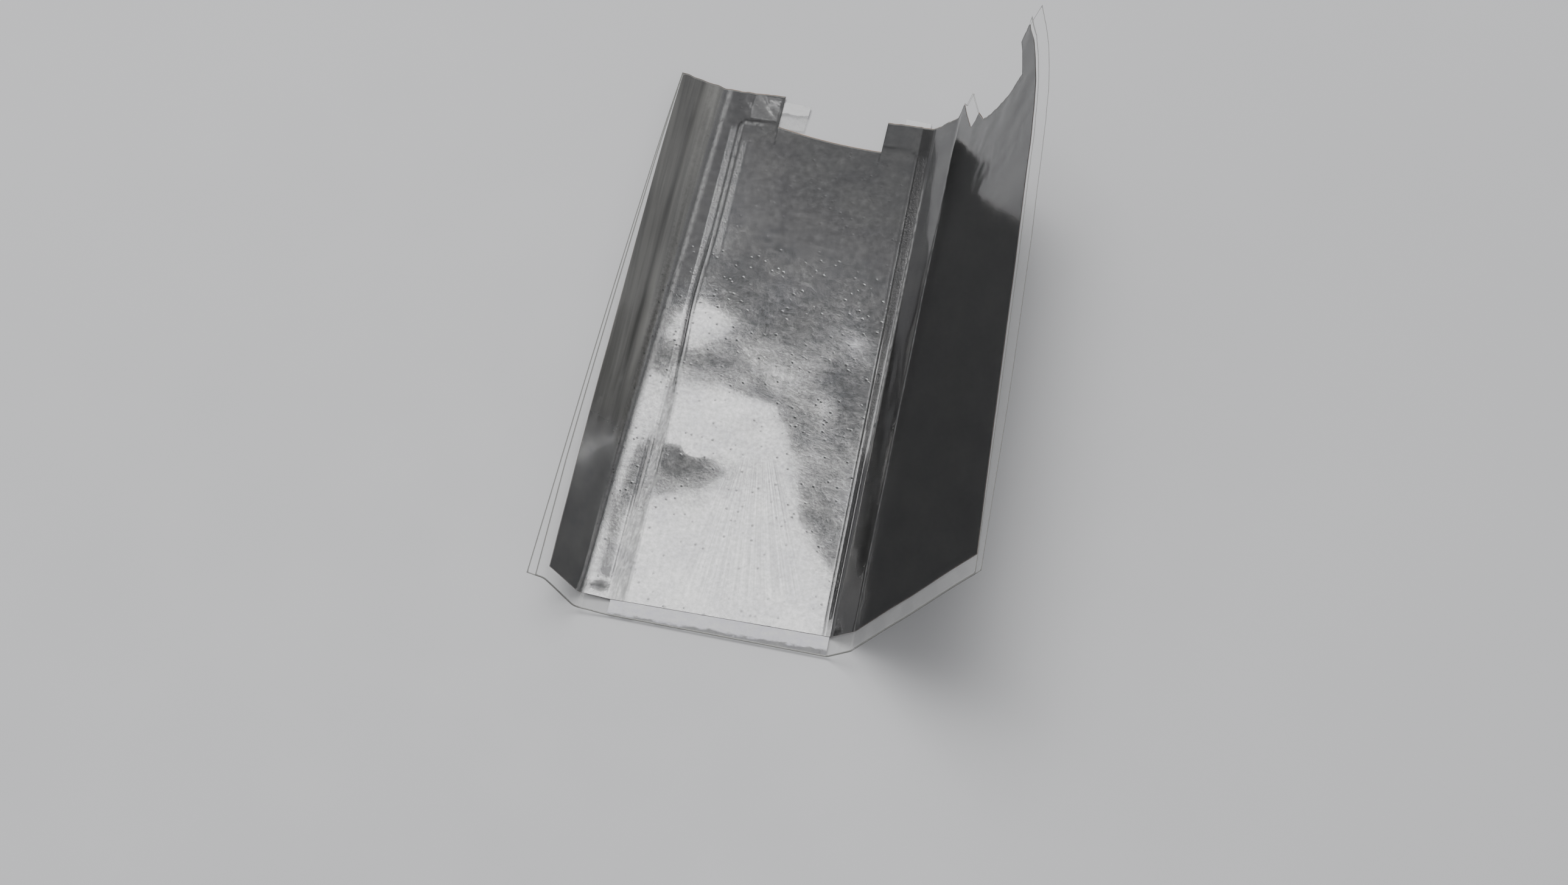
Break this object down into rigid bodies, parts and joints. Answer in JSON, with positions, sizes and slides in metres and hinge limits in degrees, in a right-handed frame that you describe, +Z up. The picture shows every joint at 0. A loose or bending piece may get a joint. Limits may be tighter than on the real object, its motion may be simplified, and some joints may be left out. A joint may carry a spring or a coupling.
{
  "type": "opened pouch battery cell",
  "caption": "Electrode wrap of a small pouch battery cell, opened out: dark coated foil between clear separators, creased into a shallow channel with one tall wing.",
  "frame": {"origin": "middle of the resting face under the centre panel", "axes": "+Y along the creases towards the notched rear edge, +X towards the tall wing, +Z up"},
  "size_m": [0.0599, 0.0936, 0.0348],
  "materials": {
    "separator_film": "clear wet microporous film",
    "graphite_coating": "dark grey graphite coating, satin",
    "copper_foil": "bare copper foil at the cut edges",
    "cathode_coating": "black cathode coating, matt",
    "aluminium_foil": "bare foil",
    "dry_separator": "dry white microporous film",
    "tab_tape": "white insulating tape",
    "tab_film": "crumpled clear tab film"
  },
  "bodies": {
    "centre": {"centre_upper_separator": "separator_film", "centre_upper_graphite": "graphite_coating", "centre_copper_foil": "copper_foil", "centre_lower_graphite": "graphite_coating", "centre_lower_separator": "separator_film", "cathode_upper_coating": "cathode_coating", "aluminium_foil": "aluminium_foil", "cathode_lower_coating": "cathode_coating", "base_separator": "separator_film", "dry_separator_strip": "dry_separator", "left_tab_tape": "tab_tape", "right_tab_tape": "tab_tape", "left_tab_film": "tab_film"},
    "left_side": {"left_side_upper_separator": "separator_film", "left_side_upper_graphite": "graphite_coating", "left_side_copper_foil": "copper_foil", "left_side_lower_graphite": "graphite_coating", "left_side_lower_separator": "separator_film"},
    "left_wing": {"left_wing_upper_separator": "separator_film", "left_wing_upper_graphite": "graphite_coating", "left_wing_copper_foil": "copper_foil", "left_wing_lower_graphite": "graphite_coating", "left_wing_lower_separator": "separator_film"},
    "right_side": {"right_side_upper_separator": "separator_film", "right_side_upper_graphite": "graphite_coating", "right_side_copper_foil": "copper_foil", "right_side_lower_graphite": "graphite_coating", "right_side_lower_separator": "separator_film"},
    "right_wing": {"right_wing_upper_separator": "separator_film", "right_wing_upper_graphite": "graphite_coating", "right_wing_copper_foil": "copper_foil", "right_wing_lower_graphite": "graphite_coating", "right_wing_lower_separator": "separator_film"}
  },
  "joints": [
    {"name": "left_side_fold", "type": "hinge", "parent": "centre", "child": "left_side", "pos_m": [-0.0156, -0.044, 0.00039], "axis": [0.0267, 0.9996, 0], "range_deg": [-2, 88]},
    {"name": "left_wing_fold", "type": "hinge", "parent": "left_side", "child": "left_wing", "pos_m": [-0.0192, -0.0439, 0.00052], "axis": [0.0267, 0.9996, 0], "range_deg": [-14, 40]},
    {"name": "right_side_fold", "type": "hinge", "parent": "centre", "child": "right_side", "pos_m": [0.0152, -0.044, 0.00039], "axis": [-0.0067, -1, 0], "range_deg": [-43, 47]},
    {"name": "right_wing_fold", "type": "hinge", "parent": "right_side", "child": "right_wing", "pos_m": [0.01842, -0.04402, 0.00339], "axis": [-0.014, -0.9999, -0.0068], "range_deg": [-18, 47]}
  ]
}
